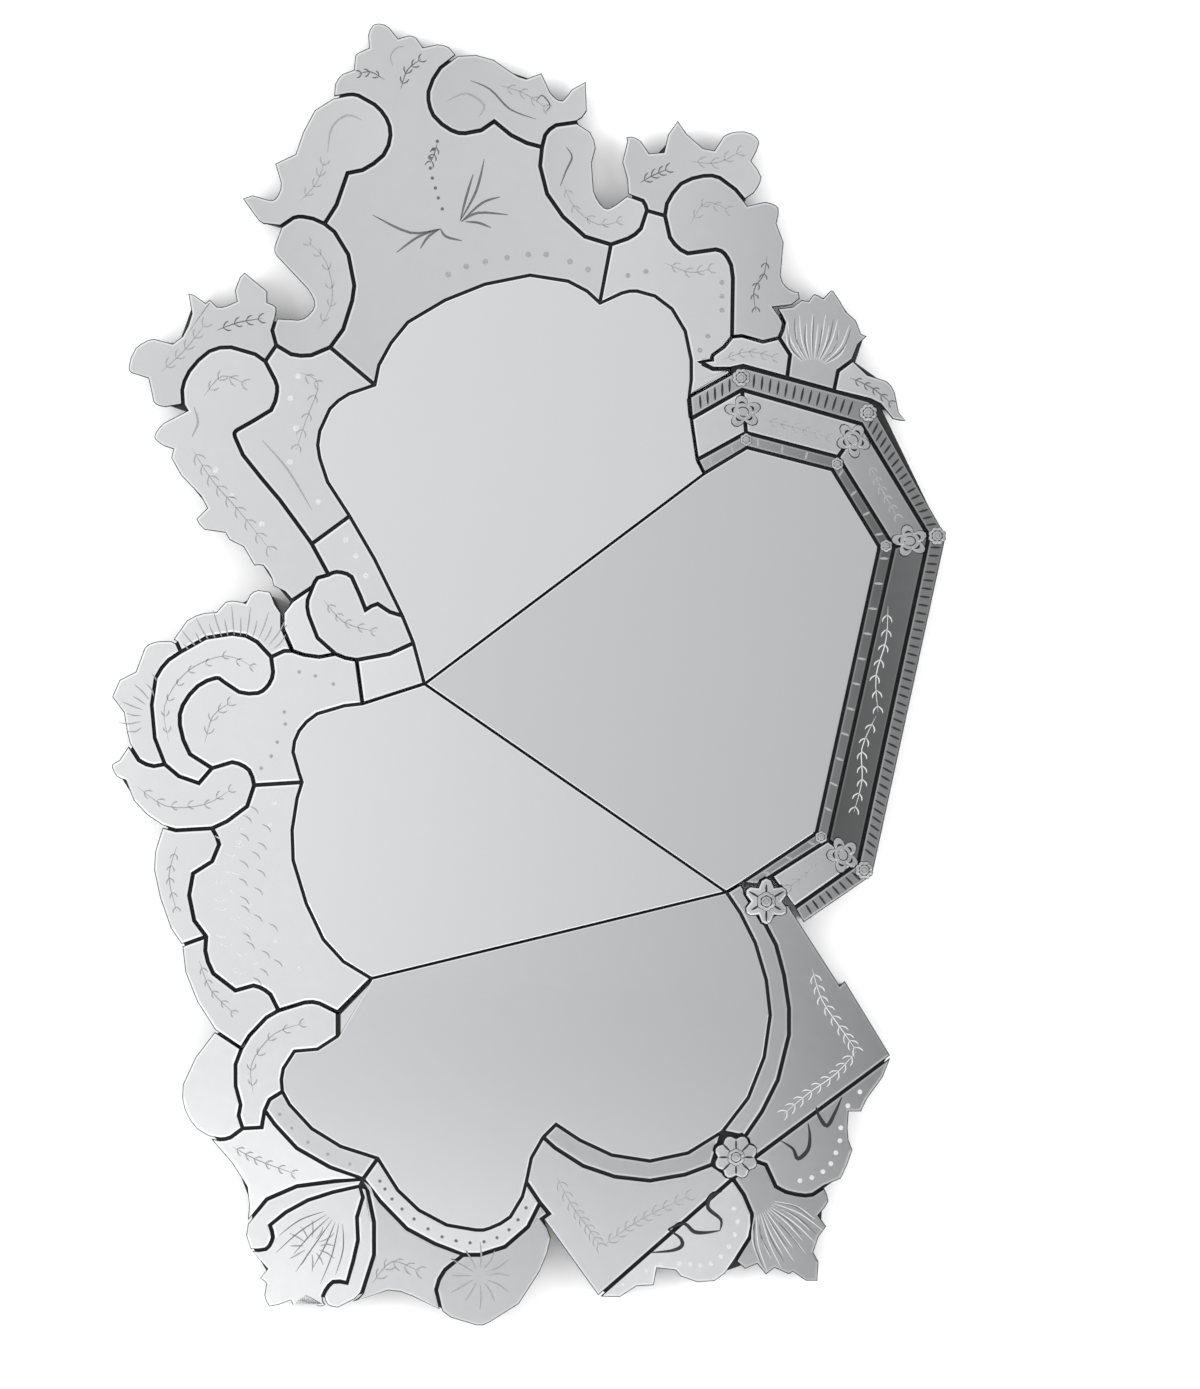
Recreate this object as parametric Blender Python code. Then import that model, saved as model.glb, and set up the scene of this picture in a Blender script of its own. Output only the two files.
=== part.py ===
"""A Venetian style wall mirror: bevelled silvered glass panes on four tilted boards."""

import math

import bmesh
import bpy
import numpy as np

for old in list(bpy.data.objects):
    bpy.data.objects.remove(old, do_unlink=True)

# Size. The outlines are in shares of the height, counted along and down the face.
HEIGHT = 1.83
FACE_TALL = 1307
UNIT = HEIGHT / FACE_TALL
MOUNT_X = 500
MOUNT_Y = 420

# Thicknesses and clearances
REST_GAP = 0.0003
JOINT = 0.0036
BOARD_GAP = 0.0014
PANE_THICK = 0.005
SCROLL_THICK = 0.008
BAND_THICK = 0.006
MOULDING_THICK = 0.010
ROSETTE_THICK = 0.006
MOST_MITRE = 2.2
TURN_STEP = math.radians(15)
MOST_STEPS = 5
SAME_POINT = 0.4


def K(x, y):
    """A point of an outline where it turns a corner."""
    return (x, y, True)


def back(edge):
    return edge[::-1]


# The five points where the mirror plates meet
PEAK = K(425, 684)
EAST = K(704, 474)
SOUTH = K(726, 892)
WEST = K(363, 704)
HOLLOW = K(372, 978)

# Distance from the wall: of the peak, and of the other points and the foot as shares of it
PEAK_DEEP = 0.055
EAST_DEEP = PEAK_DEEP * 0.82
WEST_DEEP = PEAK_DEEP * 1.011
SOUTH_DEEP = PEAK_DEEP * 0.81
FOOT = (476, 1327)
FOOT_DEEP = PEAK_DEEP * 0.59

# Edges that two pieces share: top of the mirror
ARCH = [K(375, 385), (379, 365), (391, 343), (408, 322), (445, 300), (485, 284), (530, 275),
        (568, 281), (587, 291), K(600, 303)]
LOBE_RIGHT = [K(600, 303), (622, 293), (637, 291), (655, 296), (672, 309), (685, 331),
              (691, 360), (691, 380), K(689, 397)]
LOBE_LEFT = [K(375, 385), (349, 394), (330, 409), (320, 431), (318, 445), (320, 458),
             (328, 482), K(350, 516)]
WAIST = [K(350, 516), (375, 559), K(403, 616)]
HEART_SIDE = [K(403, 616), K(414, 643)]
STRIP_SIDE = [K(414, 643), PEAK]
CREST_LEFT_IN = [K(332, 96), (347, 93), (358, 94), (374, 103), (386, 117), (390, 134),
                 (383, 154), (362, 169), K(347, 172), (336, 204), K(324, 223)]
CREST_RIGHT_IN = [K(457, 53), (440, 66), (428, 90), (433, 114), (451, 129), (465, 132),
                  (481, 129), K(494, 120), (511, 134), (527, 142), K(542, 146)]
HOOK_LEFT_OUT = [K(330, 347), (343, 329), (352, 300), (354, 285), (348, 254), (334, 231),
                 K(324, 223)]
HOOK_LEFT_TOP = [K(280, 226), (293, 217), (303, 216), (313, 218), K(324, 223)]
HOOK_LEFT_LOW = [K(330, 347), (311, 355), (291, 354), K(276, 345)]
HOOK_LEFT_LEAF = [K(276, 345), (272, 330), K(276, 317)]
HOOK_RIGHT_OUT = [K(542, 146), (540, 165), (547, 193), (563, 216), (585, 236), K(611, 244)]
HOOK_RIGHT_TOP = [K(577, 121), (556, 124), (545, 134), K(542, 146)]
HOOK_RIGHT_LOW = [K(611, 244), (628, 238), (641, 228), K(647, 210)]
HOOK_RIGHT_LEAF = [K(647, 210), (643, 200), K(627, 194)]
HEAD_LEFT = [K(265, 361), (255, 354), (231, 347), (209, 351), (189, 371), (182, 390),
             K(183, 405)]
SCROLL_LEFT_IN = [K(265, 361), (275, 380), (277, 392), (271, 410), (253, 421), (237, 430),
                  (235, 437), (243, 455), (263, 480), (280, 500), (302, 530), K(312, 544)]
SCROLL_LEFT_STRIP = [K(312, 544), K(329, 575)]
SCROLL_LEFT_END = [K(329, 575), (318, 578), K(313, 587)]
HEAD_RIGHT = [K(665, 215), (667, 203), (681, 183), (704, 175), (720, 177), (736, 189),
              K(745, 200)]
SCROLL_RIGHT_IN = [K(665, 215), (670, 237), (688, 253), (716, 249), (728, 258), (733, 278),
                   K(732, 337)]
HEART_TOP = [K(329, 575), (337, 572), (352, 577), (361, 597), K(366, 610), (378, 604),
             (390, 612), K(403, 616)]
HEART_LOW = [K(414, 643), (390, 654), K(357, 660)]
HEART_TIP = [K(357, 660), (346, 658), K(336, 654)]
HEART_LEFT = [K(336, 654), (318, 638), (309, 615), (308, 600), K(313, 587)]
CRESCENT_TOP = [K(313, 587), K(292, 601)]
CRESCENT_FAN = [K(283, 613), (283, 628), K(293, 651)]
CRESCENT_LOW = [K(293, 651), (305, 655), (320, 657), K(336, 654)]

# Left side
FAN_PANEL = [K(293, 651), (285, 651), K(272, 657)]
FAN_RING = [K(272, 657), (258, 642), (247, 636), (233, 634), (207, 638), K(182, 652)]
FAN_WAVE = [K(182, 652), (178, 643), K(173, 640)]
WAVE_COMMA = [K(130, 744), (140, 760), (155, 766), K(166, 764)]
WAVE_RING = [K(166, 764), (156, 738), (153, 705), (157, 678), (170, 660), K(182, 652)]
RING_PANEL = [K(272, 657), (274, 672), (270, 684), (259, 693), (240, 692), (225, 682),
              (217, 678), (199, 686), (184, 705), (181, 725), (191, 754), K(213, 768)]
RING_COMMA = [K(213, 768), K(200, 783), (180, 776), K(166, 764)]
COMMA_SCROLL = [K(163, 826), (177, 830), K(213, 828)]
COMMA_LOW = [K(213, 828), (228, 821), (248, 806), K(255, 785)]
COMMA_HIGH = [K(255, 785), (250, 770), (233, 762), K(213, 768)]
SCROLLS_MEET = [K(182, 945), K(207, 936)]
SCROLL_HIGH_IN = [K(207, 936), (195, 920), (190, 895), K(194, 873), K(213, 861), (220, 844),
                  K(213, 828)]
SCROLL_LOW_IN = [K(279, 1010), (271, 994), (254, 985), K(236, 990), (214, 973), (206, 950),
                 K(207, 936)]
SCROLL_FRONT = [K(242, 1048), (250, 1035), (267, 1017), K(279, 1010)]
PANEL_FRONT = [K(279, 1010), (305, 1002), (320, 1003), K(338, 1012)]
PLATE_LEFT_HIGH = [WEST, (345, 706), (318, 714), (300, 731), (294, 752), (300, 773),
                   K(303, 782)]
PLATE_LEFT_LOW = [HOLLOW, (344, 961), (324, 939), (307, 903), (294, 860), (293, 830),
                  (298, 798), K(303, 782)]

# Lower part
FRONT_PLATE = [K(338, 1036), (318, 1049), K(295, 1051), (284, 1068), (282, 1079),
               K(283, 1091)]
FRONT_BORDER = [K(283, 1091), (270, 1099), K(265, 1110)]
FRONT_BODY = [K(265, 1110), K(262, 1127), K(243, 1128)]
FRONT_DROP = [K(243, 1128), (239, 1115), (241, 1104), (236, 1085), (236, 1064), K(242, 1048)]
DROP_BODY = [K(209, 1137), (220, 1139), (231, 1137), K(243, 1128)]
PLATE_RIGHT = [SOUTH, (740, 913), (755, 943), (766, 980), (770, 1015), (764, 1057),
               (748, 1098), K(722, 1132)]
PLATE_LOW = [K(722, 1132), (688, 1153), (650, 1161), (612, 1155), (580, 1140), K(556, 1124)]
PLATE_NOTCH = [K(556, 1124), K(543, 1137)]
PLATE_SIDE = [K(543, 1137), (531, 1158), K(526, 1182)]
PLATE_FOOT = [K(526, 1182), (522, 1197), (510, 1217), (490, 1228), (476, 1230), (447, 1225),
              (419, 1210), (398, 1190), K(378, 1158)]
PLATE_LEFT = [K(378, 1158), (341, 1146), (312, 1128), (290, 1104), K(283, 1091)]
BORDER_LEFT_OUT = [K(265, 1110), (275, 1124), (297, 1148), (330, 1167), K(363, 1179)]
BORDER_BODY = [K(363, 1179), (380, 1201), (407, 1229), (435, 1244), K(463, 1255)]
BORDER_DROP = [K(463, 1255), (480, 1255), (505, 1247), (528, 1227), K(540, 1203)]
LEAF_TOP = [K(247, 1223), (267, 1199), (297, 1186), (335, 1181), K(363, 1179)]
LEAF_LEFT = [K(250, 1250), (266, 1249), (273, 1237), K(270, 1225), (286, 1212), (308, 1200),
             (333, 1192), K(360, 1186)]
LEAF_RIGHT = [K(360, 1186), (363, 1197), (357, 1217), (358, 1240), (353, 1262),
              K(347, 1283), (333, 1282), (323, 1296), K(327, 1306)]
LEAF_BODY = [K(350, 1303), (362, 1293), (374, 1255), (374, 1222), K(367, 1188)]
DROP_IN = [K(463, 1255), (445, 1270), (436, 1290), K(441, 1312)]
RIM_RIGHT = [K(763, 920), (776, 945), (784, 975), (789, 1008), (789, 1035), (778, 1080),
             (762, 1112), K(745, 1137)]
RIM_LOW = [K(543, 1137), (555, 1148), (583, 1166), (615, 1177), (650, 1181), (685, 1175),
           K(712, 1165)]
PALM_LEFT = [K(733, 1179), (744, 1195), (752, 1214), (750, 1238), K(735, 1262)]
PALM_RIGHT = [K(825, 1187), (813, 1195), (797, 1195), (776, 1187), K(766, 1165)]

# Octagon: the four lines of its frame from the outside in, each with six corners
RAIL_OUT = [K(689, 397), K(743, 367), K(870, 401), K(947, 536), K(873, 876), K(803, 924)]
RAIL_BAND = [K(691, 419), K(742, 390), K(861, 424), K(929, 536), K(858, 863), K(794, 908)]
RAIL_IN = [K(697, 460), K(746, 433), K(838, 457), K(894, 547), K(828, 840), K(771, 876)]
RAIL_PLATE = [EAST, K(747, 448), K(832, 470), K(879, 547), K(816, 833), K(741, 883)]
RAIL_IN_END = [K(757, 885)]
LEAF_PANEL = [K(732, 337), (724, 347), (713, 355), K(712, 360), K(700, 362), (713, 369),
              K(730, 369)]
LEAF_SCROLL = [K(732, 337), (742, 336), (763, 342), K(779, 338)]
SHELL_LEAF = [K(779, 338), (790, 355), K(787, 378)]
SHELL_SCROLL = [K(779, 338), (784, 323), K(775, 308), (792, 306), K(801, 299)]
SHELL_TAIL = [K(853, 360), K(838, 371), K(834, 391)]


def deep_plane(points, depths):
    """The plane through three points of the face, as distance from the wall."""
    rows = np.array([[p[0], p[1], 1.0] for p in points])
    a, b, c = np.linalg.solve(rows, np.array(depths))
    return lambda x, y: a * x + b * y + c


TOP = deep_plane((PEAK, EAST, WEST), (PEAK_DEEP, EAST_DEEP, WEST_DEEP))
RIGHT = deep_plane((PEAK, EAST, SOUTH), (PEAK_DEEP, EAST_DEEP, SOUTH_DEEP))
LEFT = deep_plane((PEAK, WEST, SOUTH), (PEAK_DEEP, WEST_DEEP, SOUTH_DEEP))
HOLLOW_DEEP = LEFT(HOLLOW[0], HOLLOW[1])
LOW = deep_plane((HOLLOW, SOUTH, FOOT), (HOLLOW_DEEP, SOUTH_DEEP, FOOT_DEEP))


def curve(points):
    """Points on a smooth curve through the given ones; two points make a straight line."""
    if len(points) == 2:
        return [points[0]]
    spots = [np.array(p[:2], float) for p in points]
    spots = [2 * spots[0] - spots[1]] + spots + [2 * spots[-1] - spots[-2]]
    found = []
    for a, b, c, d in zip(spots, spots[1:], spots[2:], spots[3:]):
        enter = c - a
        leave = d - b
        turn = math.acos(max(-1, min(1, enter.dot(leave) / np.linalg.norm(enter)
                                     / np.linalg.norm(leave))))
        steps = max(1, min(MOST_STEPS, round(turn / TURN_STEP)))
        for step in range(steps):
            t = step / steps
            found.append(b + 0.5 * t * (c - a) + t * t * (a - 2.5 * b + 2 * c - 0.5 * d)
                         + t ** 3 * (1.5 * b - 0.5 * a - 1.5 * c + 0.5 * d))
    return found


def sampled(outline):
    """The closed outline as a list of points, with no point twice."""
    points = [p for p, q in zip(outline, outline[1:] + outline[:1]) if p[:2] != q[:2]]
    first = next(i for i, p in enumerate(points) if len(p) == 3)
    points = points[first:] + points[:first + 1]
    found, run = [], [points[0]]
    for point in points[1:]:
        run.append(point)
        if len(point) == 3:
            found += curve(run)
            run = [point]
    found = [np.array(p[:2], float) for p in found]
    area = sum(p[0] * q[1] - q[0] * p[1] for p, q in zip(found, found[1:] + found[:1]))
    return found if area > 0 else found[::-1]


def inset(points, by):
    """The outline moved inwards by the same distance all round."""
    moved = []
    for i, point in enumerate(points):
        before = point - points[i - 1]
        after = points[(i + 1) % len(points)] - point
        before = before / np.linalg.norm(before)
        after = after / np.linalg.norm(after)
        inward = np.array([-before[1] - after[1], before[0] + after[0]])
        size = np.linalg.norm(inward)
        if size < 1e-6:
            moved.append(point)
            continue
        moved.append(point + inward / size * by * min(MOST_MITRE, 2 / size))
    kept = [p for p, q in zip(moved, moved[1:] + moved[:1]) if np.linalg.norm(p - q) > SAME_POINT]
    return kept


def place(point, deep):
    return ((point[0] - MOUNT_X) * UNIT, -deep, (MOUNT_Y - point[1]) * UNIT)


def slab(name, points, rear, front, material):
    """A solid with one outline, a rear face and a front face, each a height above the wall."""
    shape = bmesh.new()
    rears = [shape.verts.new(place(p, rear(p[0], p[1]))) for p in points]
    fronts = [shape.verts.new(place(p, front(p[0], p[1]))) for p in points]
    shape.faces.new(rears)
    shape.faces.new(fronts[::-1])
    for i in range(len(points)):
        j = (i + 1) % len(points)
        shape.faces.new((rears[j], rears[i], fronts[i], fronts[j]))
    mesh = bpy.data.meshes.new(name)
    shape.to_mesh(mesh)
    shape.free()
    obj = bpy.data.objects.new(name, mesh)
    mesh.materials.append(material)
    bpy.context.scene.collection.objects.link(obj)
    return obj


def finish_of(name, tone, roughness, metallic):
    material = bpy.data.materials.new(name)
    material.use_nodes = True
    shader = material.node_tree.nodes["Principled BSDF"]
    shader.inputs["Base Color"].default_value = (tone, tone, tone, 1)
    shader.inputs["Roughness"].default_value = roughness
    shader.inputs["Metallic"].default_value = metallic
    return material


def pane(name, outline, plane, thick=PANE_THICK, tone=0.6, lift=0.0):
    """One piece of silvered glass lying on its board, a joint away from its neighbours."""
    points = inset(sampled(outline), JOINT / 2 / UNIT)
    rear = REST_GAP + lift
    slab(name, points, lambda x, y: plane(x, y) + rear,
         lambda x, y: plane(x, y) + rear + thick,
         finish_of(name, tone, 0.06, 1.0))


def board(name, outline, plane):
    """A painted wooden board, flat behind and cut to the facet in front."""
    points = inset(sampled([K(*p) for p in outline]), BOARD_GAP / 2 / UNIT)
    slab(name, points, lambda x, y: 0.0, plane, finish_of(name, 0.012, 0.6, 0.0))


def petals(centre, radius, depth, count):
    """A round outline with rounded lobes."""
    found = []
    for i in range(count * 4):
        angle = math.tau * i / (count * 4)
        r = radius * (1 - depth + depth * abs(math.sin(count * angle / 2)))
        found.append(K(centre[0] + r * math.cos(angle), centre[1] + r * math.sin(angle)))
    return found


# The four big mirror plates
pane("plate_top", ARCH + LOBE_RIGHT + [K(691, 419), K(697, 460), EAST, PEAK]
     + back(STRIP_SIDE) + back(HEART_SIDE) + back(WAIST) + back(LOBE_LEFT), TOP, tone=0.65)
pane("plate_right", [PEAK] + RAIL_PLATE + [SOUTH], RIGHT, tone=0.47)
pane("plate_left", PLATE_LEFT_HIGH + back(PLATE_LEFT_LOW) + [SOUTH, PEAK], LEFT, tone=0.7)
pane("plate_bottom", [HOLLOW] + PLATE_RIGHT + PLATE_LOW + PLATE_NOTCH + PLATE_SIDE
     + PLATE_FOOT + PLATE_LEFT + back(FRONT_PLATE), LOW, tone=0.55)

# Crest and shoulders, on the top board
pane("crest_panel",
     [K(332, 96), (333, 82), (341, 71), K(352, 67), (353, 54), (358, 49), K(367, 45),
      (366, 33), (371, 22), (380, 20), (389, 24), K(398, 35), (408, 32), (417, 35),
      K(423, 44), (437, 41), (449, 44)] + CREST_RIGHT_IN + HOOK_RIGHT_OUT + back(ARCH)
     + HOOK_LEFT_OUT + back(CREST_LEFT_IN), TOP, tone=0.58)
pane("crest_scroll_left",
     [K(332, 96), (313, 108), (301, 131), (294, 152), K(273, 162), (279, 182), (277, 192),
      (272, 198), (262, 196), (252, 193), K(240, 197), (253, 215), (262, 224)]
     + HOOK_LEFT_TOP + back(CREST_LEFT_IN), TOP, SCROLL_THICK, 0.58)
pane("crest_scroll_right",
     [K(457, 53), (476, 52), (494, 57), (511, 69), (526, 76), K(542, 70), (551, 90),
      (562, 98), (571, 87), K(587, 78), (588, 110)] + HOOK_RIGHT_TOP
     + back(CREST_RIGHT_IN), TOP, SCROLL_THICK, 0.55)
pane("hook_left",
     HOOK_LEFT_OUT + back(HOOK_LEFT_TOP)
     + [(273, 245), (275, 256), K(290, 272), (306, 289), (313, 305), (303, 317), (292, 318)]
     + back(HOOK_LEFT_LEAF) + back(HOOK_LEFT_LOW), TOP, SCROLL_THICK, 0.57)
pane("hook_right",
     HOOK_RIGHT_OUT + HOOK_RIGHT_LOW + HOOK_RIGHT_LEAF
     + [(615, 203), (605, 206), (595, 190), K(593, 162), (597, 147), (591, 130)]
     + HOOK_RIGHT_TOP, TOP, SCROLL_THICK, 0.55)
pane("shoulder_leaf_left",
     [K(186, 291), (194, 293), K(205, 301), (210, 298), (217, 305), (226, 304), K(235, 300),
      (233, 290), (238, 276), K(244, 270), (258, 282), K(268, 290), K(268, 301), (277, 306)]
     + back(HOOK_LEFT_LEAF) + HEAD_LEFT
     + [(165, 408), (152, 402), K(147, 379), (131, 374), (127, 366), (134, 347), (153, 337),
        K(172, 342), (181, 335), (190, 313)], TOP, tone=0.62)
pane("shoulder_leaf_right",
     [K(627, 194), (626, 178), K(621, 161), (626, 140), K(625, 135), (632, 134), (642, 139),
      K(650, 151), K(663, 150), K(667, 133), K(678, 117), (688, 132), (704, 146),
      K(714, 148), (723, 134), (737, 129), (752, 131), (761, 142), K(753, 160), (763, 176),
      (755, 193)] + back(HEAD_RIGHT) + HOOK_RIGHT_LEAF, TOP, tone=0.6)
pane("side_scroll_left",
     SCROLL_LEFT_IN + SCROLL_LEFT_STRIP + SCROLL_LEFT_END + CRESCENT_TOP
     + [(285, 593), K(273, 587), (271, 579), (263, 567), K(254, 567), (243, 548),
        K(229, 541), K(225, 534), (204, 531), K(195, 519), K(206, 508), (200, 497),
        (180, 476), K(170, 458), K(172, 450), (163, 447), (153, 437), (163, 422),
        K(186, 410)] + back(HEAD_LEFT), TOP, SCROLL_THICK, 0.66)
pane("side_scroll_right",
     HEAD_RIGHT + [K(748, 204), (765, 200), (780, 207), K(778, 223), (785, 242), (782, 275),
                   (790, 288), K(800, 291)] + back(SHELL_SCROLL) + back(LEAF_SCROLL)
     + back(SCROLL_RIGHT_IN), TOP, SCROLL_THICK, 0.5)
pane("side_panel_left",
     back(HOOK_LEFT_LOW) + LOBE_LEFT + back(SCROLL_LEFT_IN), TOP, tone=0.64)
pane("side_panel_right",
     HOOK_RIGHT_LOW + SCROLL_RIGHT_IN + LEAF_PANEL + [K(730, 374)] + back(LOBE_RIGHT),
     TOP, tone=0.6)
pane("waist_strip", WAIST + back(HEART_TOP) + back(SCROLL_LEFT_STRIP), TOP, tone=0.66)
pane("heart", HEART_TOP + HEART_SIDE + HEART_LOW + HEART_TIP + HEART_LEFT
     + back(SCROLL_LEFT_END), TOP, SCROLL_THICK, 0.68)
pane("crescent", CRESCENT_TOP + CRESCENT_FAN + CRESCENT_LOW + HEART_LEFT, TOP, tone=0.73)
pane("small_strip", STRIP_SIDE + [WEST] + back(HEART_LOW), TOP, tone=0.7)

# Left side, on the left board
pane("fan",
     [K(173, 640), (187, 620), (205, 612), K(217, 611), (226, 601), (238, 600), K(246, 602),
      (250, 594), (259, 589), K(272, 591), (277, 604)] + CRESCENT_FAN + FAN_PANEL + FAN_RING
     + FAN_WAVE, LEFT, tone=0.72)
pane("outer_wave",
     [K(173, 640), (160, 640), (145, 647), K(136, 671), (120, 679), K(112, 697),
      (124, 713), (127, 732)] + WAVE_COMMA + WAVE_RING + FAN_WAVE, LEFT, tone=0.75)
pane("ring_scroll", WAVE_RING + back(FAN_RING) + RING_PANEL + RING_COMMA, LEFT,
     SCROLL_THICK, 0.77)
pane("comma_scroll",
     [K(130, 744), K(120, 759), (112, 765), (117, 777), K(126, 781), (134, 801),
      (147, 815)] + COMMA_SCROLL + COMMA_LOW + COMMA_HIGH + RING_COMMA + back(WAVE_COMMA),
     LEFT, SCROLL_THICK, 0.77)
pane("left_panel_upper", back(FAN_PANEL) + CRESCENT_LOW + back(HEART_TIP)
     + PLATE_LEFT_HIGH + COMMA_HIGH + back(RING_PANEL), LEFT, tone=0.72)
pane("left_panel_lower", back(COMMA_LOW) + back(SCROLL_HIGH_IN) + back(SCROLL_LOW_IN)
     + PANEL_FRONT + PLATE_LEFT_LOW, LEFT, tone=0.73)
pane("left_scroll_upper",
     [K(163, 826), (155, 851), (154, 870), (160, 898), (171, 929)] + SCROLLS_MEET
     + SCROLL_HIGH_IN + back(COMMA_SCROLL), LEFT, SCROLL_THICK, 0.77)
pane("left_scroll_lower",
     [K(182, 945), (185, 972), (197, 1002), K(215, 1030)] + SCROLL_FRONT + SCROLL_LOW_IN
     + back(SCROLLS_MEET), LEFT, SCROLL_THICK, 0.74)

# Lower part, on the bottom board
pane("front_scroll", PANEL_FRONT + FRONT_PLATE + FRONT_BORDER + FRONT_BODY + FRONT_DROP
     + SCROLL_FRONT, LOW, SCROLL_THICK, 0.7)
pane("round_drop", [K(215, 1030), (195, 1056), (182, 1084), (184, 1110), (197, 1130)]
     + DROP_BODY + FRONT_DROP, LOW, tone=0.77)
pane("border_left", PLATE_LEFT + FRONT_BORDER + BORDER_LEFT_OUT, LOW, BAND_THICK, 0.55)
pane("border_bottom", PLATE_FOOT + BORDER_BODY + BORDER_DROP, LOW, BAND_THICK, 0.58)
pane("corner_body", [K(209, 1137), (231, 1163), (246, 1187), (248, 1205)] + LEAF_TOP
     + back(BORDER_LEFT_OUT) + FRONT_BODY + back(DROP_BODY), LOW, tone=0.74)
pane("leaf_strip_upper", back(LEAF_TOP) + [(245, 1235)] + LEAF_LEFT, LOW, SCROLL_THICK, 0.66)
pane("leaf_strip_right", LEAF_RIGHT + [(338, 1309)] + LEAF_BODY, LOW, SCROLL_THICK, 0.6)
pane("corner_leaf",
     LEAF_LEFT + LEAF_RIGHT + [(318, 1308), K(306, 1299), (294, 1308), K(290, 1302),
                               (270, 1308), (263, 1295), (265, 1284), K(258, 1279),
                               K(266, 1269), (260, 1262)], LOW, tone=0.63)
pane("foot_body", BORDER_BODY + DROP_IN + [(412, 1298), (388, 1292)] + LEAF_BODY,
     LOW, tone=0.53)
pane("foot_drop",
     BORDER_DROP + [K(549, 1214), K(542, 1219), (552, 1238), (541, 1272), (520, 1305),
                    (490, 1324), (476, 1327), (450, 1319)] + back(DROP_IN), LOW,
     SCROLL_THICK, 0.56)
pane("border_right", PLATE_RIGHT + back(RIM_RIGHT) + [K(741, 883)], LOW, BAND_THICK, 0.4)
pane("border_lower", PLATE_LOW + PLATE_NOTCH + RIM_LOW, LOW, BAND_THICK, 0.4)
pane("corner_panel_right",
     RIM_RIGHT + [K(752, 1160), K(892, 1056), K(845, 979), K(840, 984), K(788, 903)],
     LOW, tone=0.3)
pane("corner_panel_lower",
     back(RIM_LOW) + PLATE_SIDE + [K(540, 1203), K(549, 1214), K(542, 1219), K(598, 1298),
                                   K(733, 1179)], LOW, tone=0.58)
pane("palmette",
     PALM_LEFT + [K(745, 1271), K(757, 1266), K(766, 1277), K(775, 1270), (788, 1276),
                  K(793, 1274), (806, 1283), K(819, 1283), K(820, 1262), K(815, 1253),
                  K(820, 1238), K(828, 1227), K(820, 1216), (830, 1202)] + PALM_RIGHT
     + [K(752, 1160)], LOW, SCROLL_THICK, 0.4)
pane("scroll_leaf_lower",
     [K(598, 1298)] + PALM_LEFT + [K(726, 1275), K(715, 1283), (697, 1284), K(680, 1278),
                                   K(675, 1272), K(658, 1270), K(655, 1287), K(637, 1288),
                                   (620, 1299)], LOW, SCROLL_THICK, 0.52)
pane("scroll_leaf_right",
     [K(752, 1160), K(892, 1056), (884, 1078), K(868, 1100), K(862, 1113), K(850, 1113),
      (849, 1128), K(850, 1140), K(854, 1150), (849, 1165), K(842, 1180)] + PALM_RIGHT,
     LOW, SCROLL_THICK, 0.34)
pane("lower_rosette", petals((736, 1157), 24, 0.16, 8), LOW, ROSETTE_THICK, 0.4,
     SCROLL_THICK + 2 * REST_GAP)
pane("upper_quatrefoil", petals((766, 901), 25, 0.3, 6), LOW, ROSETTE_THICK, 0.45,
     MOULDING_THICK + 2 * REST_GAP)

# Octagon, on the right board
for number in range(5):
    pane("octagon_band_" + str(number + 1),
         RAIL_BAND[number:number + 2] + back(RAIL_IN[number:number + 2]), RIGHT,
         BAND_THICK, (0.57, 0.5, 0.34, 0.17, 0.46)[number])
pane("octagon_moulding_outer", RAIL_OUT + back(RAIL_BAND), RIGHT, MOULDING_THICK, 0.35)
pane("octagon_moulding_inner", RAIL_IN[:-1] + RAIL_IN_END + back(RAIL_PLATE), RIGHT,
     MOULDING_THICK, 0.4)
pane("octagon_leaf", back(LEAF_PANEL) + LEAF_SCROLL + SHELL_LEAF + [K(743, 366)], RIGHT,
     SCROLL_THICK, 0.52)
pane("octagon_shell",
     back(SHELL_SCROLL) + SHELL_LEAF
     + back(SHELL_TAIL) + [(859, 345), K(869, 336), K(862, 333), (857, 320), K(847, 311),
                           K(840, 299), (832, 289), K(823, 297), (814, 293), K(808, 300)],
     RIGHT, SCROLL_THICK, 0.46)
pane("octagon_tail",
     [K(853, 360), (868, 374), (887, 380), (896, 392), K(900, 412), K(908, 422), (892, 420),
      K(880, 405), K(870, 400)] + back(SHELL_TAIL), RIGHT, SCROLL_THICK, 0.5)

# Backing boards, cut a little inside the glass
board("board_top",
      [(345, 80), (372, 52), (384, 28), (400, 44), (450, 58), (500, 66), (540, 80),
       (562, 104), (578, 92), (576, 116), (586, 138), (586, 165), (588, 198), (606, 212),
       (632, 199), (628, 150), (652, 158), (680, 127), (705, 153), (745, 138), (747, 165),
       (755, 180), (743, 206), (772, 210), (777, 240), (776, 285), (768, 308), (776, 325),
       (768, 338), (731, 335), (710, 357), (702, 362), (726, 372), (689, 397), (691, 419),
       (697, 460), EAST[:2], PEAK[:2], WEST[:2], (357, 660), (336, 654), (315, 656),
       (294, 650), (285, 635), (285, 614), (290, 602), (274, 583), (260, 562), (240, 543),
       (228, 530), (202, 518), (208, 507), (176, 468), (178, 448), (160, 438), (188, 412),
       (156, 401), (150, 375), (132, 364), (150, 342), (178, 342), (193, 300), (205, 305),
       (225, 312), (238, 303), (244, 276), (262, 292), (270, 320), (300, 322), (318, 305),
       (310, 287), (294, 268), (280, 255), (278, 240), (286, 228), (262, 221), (248, 199),
       (275, 202), (284, 185), (280, 166), (298, 155), (305, 132), (318, 111), (336, 98)],
      TOP)
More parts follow.
